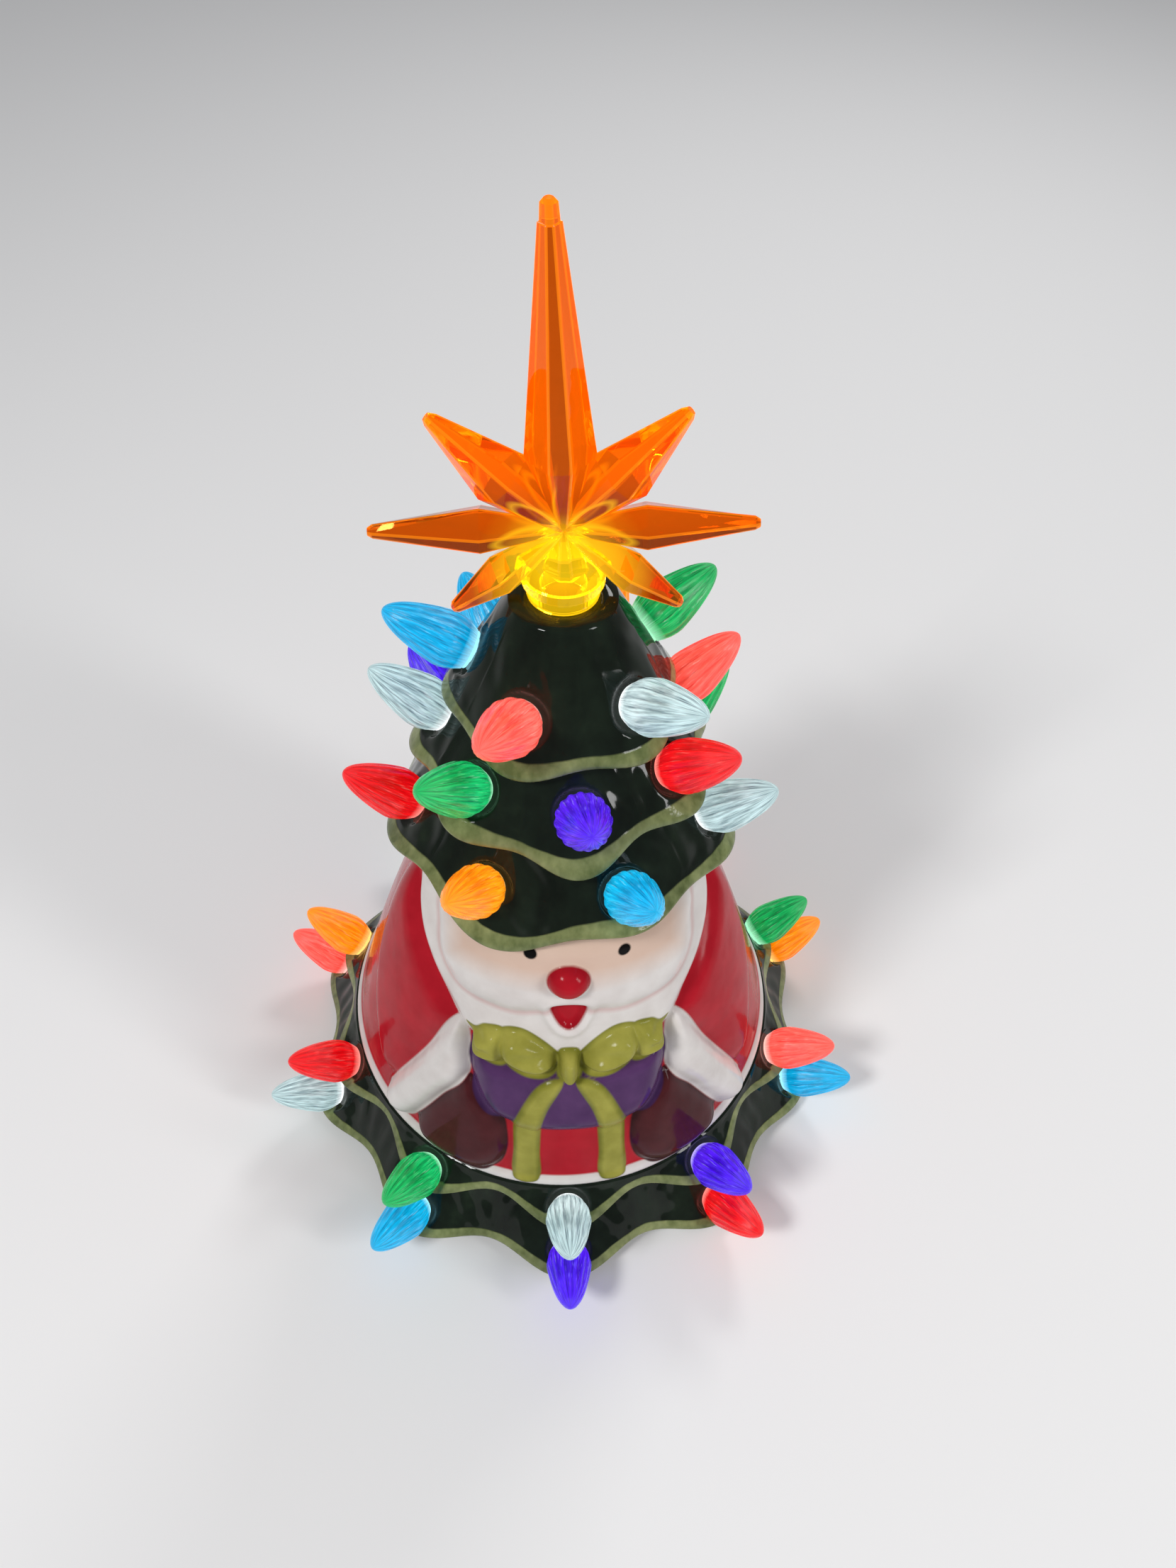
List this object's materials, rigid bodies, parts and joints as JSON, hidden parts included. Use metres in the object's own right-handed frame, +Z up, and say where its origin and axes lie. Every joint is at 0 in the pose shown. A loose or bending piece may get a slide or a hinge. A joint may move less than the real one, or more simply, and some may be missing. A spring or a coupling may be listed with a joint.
{
  "type": "lighted ceramic christmas tree",
  "caption": "Ceramic table tree worn as the hat of a gift-holding Father Christmas, with push-in lights, a clear star and a scalloped two-tier base that hides a battery pack.",
  "frame": {"origin": "on the table, under the middle of the foot pads", "axes": "+Z up to the star's tip, the figure looks along -Y, +X to the viewer's right"},
  "size_m": [0.1822, 0.1894, 0.2785],
  "materials": {
    "tree_glaze": "deep green-black gloss glaze with pale green edging",
    "figure_glaze": "painted gloss glaze: red coat, white beard, purple gift",
    "amber_clear": "clear amber acrylic, faceted",
    "bulb_red": "fluted clear red plastic, lit",
    "bulb_coral": "fluted clear coral plastic, lit",
    "bulb_orange": "fluted clear orange plastic, lit",
    "bulb_green": "fluted clear green plastic, lit",
    "bulb_blue": "fluted clear sky-blue plastic, lit",
    "bulb_purple": "fluted clear violet plastic, lit",
    "bulb_clear": "fluted frost-clear plastic, lit",
    "plate_plastic": "fine spark-textured black",
    "switch_plastic": "smooth dark grey",
    "post_plastic": "smooth white",
    "sprung_steel": "nickel-plated",
    "cell_wrap": "plain printed wrap",
    "board": "green solder mask",
    "lamp_lens": "warm-white lamp lens",
    "lead_sleeve": "insulated wire",
    "pad_rubber": "soft grey rubber"
  },
  "bodies": {
    "tree": {"base_skirt": "tree_glaze", "tree_hat": "tree_glaze", "santa_body": "figure_glaze", "bottom_plate": "plate_plastic", "battery_box": "plate_plastic", "aa_cells": "cell_wrap", "battery_contacts": "sprung_steel", "box_screws": "sprung_steel", "post_screws": "sprung_steel", "switch_body": "switch_plastic", "lamp_post": "post_plastic", "hat_led_board": "board", "base_led_board": "board", "hat_leds": "lamp_lens", "base_leds": "lamp_lens", "led_leads": "lead_sleeve", "foot_pads": "pad_rubber"},
    "star": {"star_topper": "amber_clear"},
    "battery_door": {"battery_door": "plate_plastic"},
    "switch_slider": {"switch_slider": "switch_plastic"},
    "hat_top_bulb_1": {"hat_top_bulb_1": "bulb_coral"},
    "hat_top_bulb_2": {"hat_top_bulb_2": "bulb_clear"},
    "hat_top_bulb_3": {"hat_top_bulb_3": "bulb_green"},
    "hat_top_bulb_4": {"hat_top_bulb_4": "bulb_orange"},
    "hat_top_bulb_5": {"hat_top_bulb_5": "bulb_blue"},
    "hat_mid_bulb_1": {"hat_mid_bulb_1": "bulb_purple"},
    "hat_mid_bulb_2": {"hat_mid_bulb_2": "bulb_red"},
    "hat_mid_bulb_3": {"hat_mid_bulb_3": "bulb_coral"},
    "hat_mid_bulb_4": {"hat_mid_bulb_4": "bulb_orange"},
    "hat_mid_bulb_5": {"hat_mid_bulb_5": "bulb_blue"},
    "hat_mid_bulb_6": {"hat_mid_bulb_6": "bulb_clear"},
    "hat_mid_bulb_7": {"hat_mid_bulb_7": "bulb_green"},
    "hat_low_bulb_1": {"hat_low_bulb_1": "bulb_orange"},
    "hat_low_bulb_2": {"hat_low_bulb_2": "bulb_blue"},
    "hat_low_bulb_3": {"hat_low_bulb_3": "bulb_clear"},
    "hat_low_bulb_4": {"hat_low_bulb_4": "bulb_green"},
    "hat_low_bulb_5": {"hat_low_bulb_5": "bulb_coral"},
    "hat_low_bulb_6": {"hat_low_bulb_6": "bulb_purple"},
    "hat_low_bulb_7": {"hat_low_bulb_7": "bulb_red"},
    "base_upper_bulb_1": {"base_upper_bulb_1": "bulb_clear"},
    "base_upper_bulb_2": {"base_upper_bulb_2": "bulb_purple"},
    "base_upper_bulb_3": {"base_upper_bulb_3": "bulb_coral"},
    "base_upper_bulb_4": {"base_upper_bulb_4": "bulb_green"},
    "base_upper_bulb_5": {"base_upper_bulb_5": "bulb_blue"},
    "base_upper_bulb_6": {"base_upper_bulb_6": "bulb_clear"},
    "base_upper_bulb_7": {"base_upper_bulb_7": "bulb_purple"},
    "base_upper_bulb_8": {"base_upper_bulb_8": "bulb_orange"},
    "base_upper_bulb_9": {"base_upper_bulb_9": "bulb_red"},
    "base_upper_bulb_10": {"base_upper_bulb_10": "bulb_green"},
    "base_lower_bulb_1": {"base_lower_bulb_1": "bulb_purple"},
    "base_lower_bulb_2": {"base_lower_bulb_2": "bulb_red"},
    "base_lower_bulb_3": {"base_lower_bulb_3": "bulb_blue"},
    "base_lower_bulb_4": {"base_lower_bulb_4": "bulb_orange"},
    "base_lower_bulb_5": {"base_lower_bulb_5": "bulb_coral"},
    "base_lower_bulb_6": {"base_lower_bulb_6": "bulb_green"},
    "base_lower_bulb_7": {"base_lower_bulb_7": "bulb_clear"},
    "base_lower_bulb_8": {"base_lower_bulb_8": "bulb_coral"},
    "base_lower_bulb_9": {"base_lower_bulb_9": "bulb_clear"},
    "base_lower_bulb_10": {"base_lower_bulb_10": "bulb_blue"}
  },
  "joints": [
    {"name": "star_lift", "type": "slide", "parent": "tree", "child": "star", "axis": [0, 0, 1], "range_m": [0, 0.04]},
    {"name": "battery_door_hinge", "type": "hinge", "parent": "tree", "child": "battery_door", "pos_m": [0, 0.0254, 0.0025], "axis": [1, 0, 0], "range_deg": [0, 90]},
    {"name": "switch_slide", "type": "slide", "parent": "tree", "child": "switch_slider", "axis": [0, 1, 0], "range_m": [0, 0.004]},
    {"name": "hat_top_bulb_1_pull", "type": "slide", "parent": "tree", "child": "hat_top_bulb_1", "axis": [-0.3647, -0.8041, 0.4695], "range_m": [0, 0.025]},
    {"name": "hat_top_bulb_2_pull", "type": "slide", "parent": "tree", "child": "hat_top_bulb_2", "axis": [0.652, -0.5954, 0.4695], "range_m": [0, 0.025]},
    {"name": "hat_top_bulb_3_pull", "type": "slide", "parent": "tree", "child": "hat_top_bulb_3", "axis": [0.7677, 0.4361, 0.4695], "range_m": [0, 0.025]},
    {"name": "hat_top_bulb_4_pull", "type": "slide", "parent": "tree", "child": "hat_top_bulb_4", "axis": [-0.1775, 0.8649, 0.4695], "range_m": [0, 0.025]},
    {"name": "hat_top_bulb_5_pull", "type": "slide", "parent": "tree", "child": "hat_top_bulb_5", "axis": [-0.8774, 0.0984, 0.4695], "range_m": [0, 0.025]},
    {"name": "hat_mid_bulb_1_pull", "type": "slide", "parent": "tree", "child": "hat_mid_bulb_1", "axis": [0.1066, -0.7586, 0.6428], "range_m": [0, 0.025]},
    {"name": "hat_mid_bulb_2_pull", "type": "slide", "parent": "tree", "child": "hat_mid_bulb_2", "axis": [0.6596, -0.3896, 0.6428], "range_m": [0, 0.025]},
    {"name": "hat_mid_bulb_3_pull", "type": "slide", "parent": "tree", "child": "hat_mid_bulb_3", "axis": [0.7158, 0.2727, 0.6428], "range_m": [0, 0.025]},
    {"name": "hat_mid_bulb_4_pull", "type": "slide", "parent": "tree", "child": "hat_mid_bulb_4", "axis": [0.2331, 0.7297, 0.6428], "range_m": [0, 0.025]},
    {"name": "hat_mid_bulb_5_pull", "type": "slide", "parent": "tree", "child": "hat_mid_bulb_5", "axis": [-0.4252, 0.6372, 0.6428], "range_m": [0, 0.025]},
    {"name": "hat_mid_bulb_6_pull", "type": "slide", "parent": "tree", "child": "hat_mid_bulb_6", "axis": [-0.7633, 0.0649, 0.6428], "range_m": [0, 0.025]},
    {"name": "hat_mid_bulb_7_pull", "type": "slide", "parent": "tree", "child": "hat_mid_bulb_7", "axis": [-0.5266, -0.5563, 0.6428], "range_m": [0, 0.025]},
    {"name": "hat_low_bulb_1_pull", "type": "slide", "parent": "tree", "child": "hat_low_bulb_1", "axis": [-0.3535, -0.6537, 0.6691], "range_m": [0, 0.025]},
    {"name": "hat_low_bulb_2_pull", "type": "slide", "parent": "tree", "child": "hat_low_bulb_2", "axis": [0.2907, -0.6839, 0.6691], "range_m": [0, 0.025]},
    {"name": "hat_low_bulb_3_pull", "type": "slide", "parent": "tree", "child": "hat_low_bulb_3", "axis": [0.716, -0.1991, 0.6691], "range_m": [0, 0.025]},
    {"name": "hat_low_bulb_4_pull", "type": "slide", "parent": "tree", "child": "hat_low_bulb_4", "axis": [0.6021, 0.4356, 0.6691], "range_m": [0, 0.025]},
    {"name": "hat_low_bulb_5_pull", "type": "slide", "parent": "tree", "child": "hat_low_bulb_5", "axis": [0.0348, 0.7423, 0.6691], "range_m": [0, 0.025]},
    {"name": "hat_low_bulb_6_pull", "type": "slide", "parent": "tree", "child": "hat_low_bulb_6", "axis": [-0.5587, 0.4901, 0.6691], "range_m": [0, 0.025]},
    {"name": "hat_low_bulb_7_pull", "type": "slide", "parent": "tree", "child": "hat_low_bulb_7", "axis": [-0.7315, -0.1312, 0.6691], "range_m": [0, 0.025]},
    {"name": "base_upper_bulb_1_pull", "type": "slide", "parent": "tree", "child": "base_upper_bulb_1", "axis": [0.026, -0.8286, 0.5592], "range_m": [0, 0.025]},
    {"name": "base_upper_bulb_2_pull", "type": "slide", "parent": "tree", "child": "base_upper_bulb_2", "axis": [0.5081, -0.6551, 0.5592], "range_m": [0, 0.025]},
    {"name": "base_upper_bulb_3_pull", "type": "slide", "parent": "tree", "child": "base_upper_bulb_3", "axis": [0.7961, -0.2313, 0.5592], "range_m": [0, 0.025]},
    {"name": "base_upper_bulb_4_pull", "type": "slide", "parent": "tree", "child": "base_upper_bulb_4", "axis": [0.78, 0.2808, 0.5592], "range_m": [0, 0.025]},
    {"name": "base_upper_bulb_5_pull", "type": "slide", "parent": "tree", "child": "base_upper_bulb_5", "axis": [0.466, 0.6857, 0.5592], "range_m": [0, 0.025]},
    {"name": "base_upper_bulb_6_pull", "type": "slide", "parent": "tree", "child": "base_upper_bulb_6", "axis": [-0.026, 0.8286, 0.5592], "range_m": [0, 0.025]},
    {"name": "base_upper_bulb_7_pull", "type": "slide", "parent": "tree", "child": "base_upper_bulb_7", "axis": [-0.5081, 0.6551, 0.5592], "range_m": [0, 0.025]},
    {"name": "base_upper_bulb_8_pull", "type": "slide", "parent": "tree", "child": "base_upper_bulb_8", "axis": [-0.7961, 0.2313, 0.5592], "range_m": [0, 0.025]},
    {"name": "base_upper_bulb_9_pull", "type": "slide", "parent": "tree", "child": "base_upper_bulb_9", "axis": [-0.78, -0.2808, 0.5592], "range_m": [0, 0.025]},
    {"name": "base_upper_bulb_10_pull", "type": "slide", "parent": "tree", "child": "base_upper_bulb_10", "axis": [-0.466, -0.6857, 0.5592], "range_m": [0, 0.025]},
    {"name": "base_lower_bulb_1_pull", "type": "slide", "parent": "tree", "child": "base_lower_bulb_1", "axis": [0.0277, -0.8825, 0.4695], "range_m": [0, 0.025]},
    {"name": "base_lower_bulb_2_pull", "type": "slide", "parent": "tree", "child": "base_lower_bulb_2", "axis": [0.5412, -0.6977, 0.4695], "range_m": [0, 0.025]},
    {"name": "base_lower_bulb_3_pull", "type": "slide", "parent": "tree", "child": "base_lower_bulb_3", "axis": [0.8479, -0.2463, 0.4695], "range_m": [0, 0.025]},
    {"name": "base_lower_bulb_4_pull", "type": "slide", "parent": "tree", "child": "base_lower_bulb_4", "axis": [0.8307, 0.2991, 0.4695], "range_m": [0, 0.025]},
    {"name": "base_lower_bulb_5_pull", "type": "slide", "parent": "tree", "child": "base_lower_bulb_5", "axis": [0.4963, 0.7303, 0.4695], "range_m": [0, 0.025]},
    {"name": "base_lower_bulb_6_pull", "type": "slide", "parent": "tree", "child": "base_lower_bulb_6", "axis": [-0.0277, 0.8825, 0.4695], "range_m": [0, 0.025]},
    {"name": "base_lower_bulb_7_pull", "type": "slide", "parent": "tree", "child": "base_lower_bulb_7", "axis": [-0.5412, 0.6977, 0.4695], "range_m": [0, 0.025]},
    {"name": "base_lower_bulb_8_pull", "type": "slide", "parent": "tree", "child": "base_lower_bulb_8", "axis": [-0.8479, 0.2463, 0.4695], "range_m": [0, 0.025]},
    {"name": "base_lower_bulb_9_pull", "type": "slide", "parent": "tree", "child": "base_lower_bulb_9", "axis": [-0.8307, -0.2991, 0.4695], "range_m": [0, 0.025]},
    {"name": "base_lower_bulb_10_pull", "type": "slide", "parent": "tree", "child": "base_lower_bulb_10", "axis": [-0.4963, -0.7303, 0.4695], "range_m": [0, 0.025]}
  ]
}
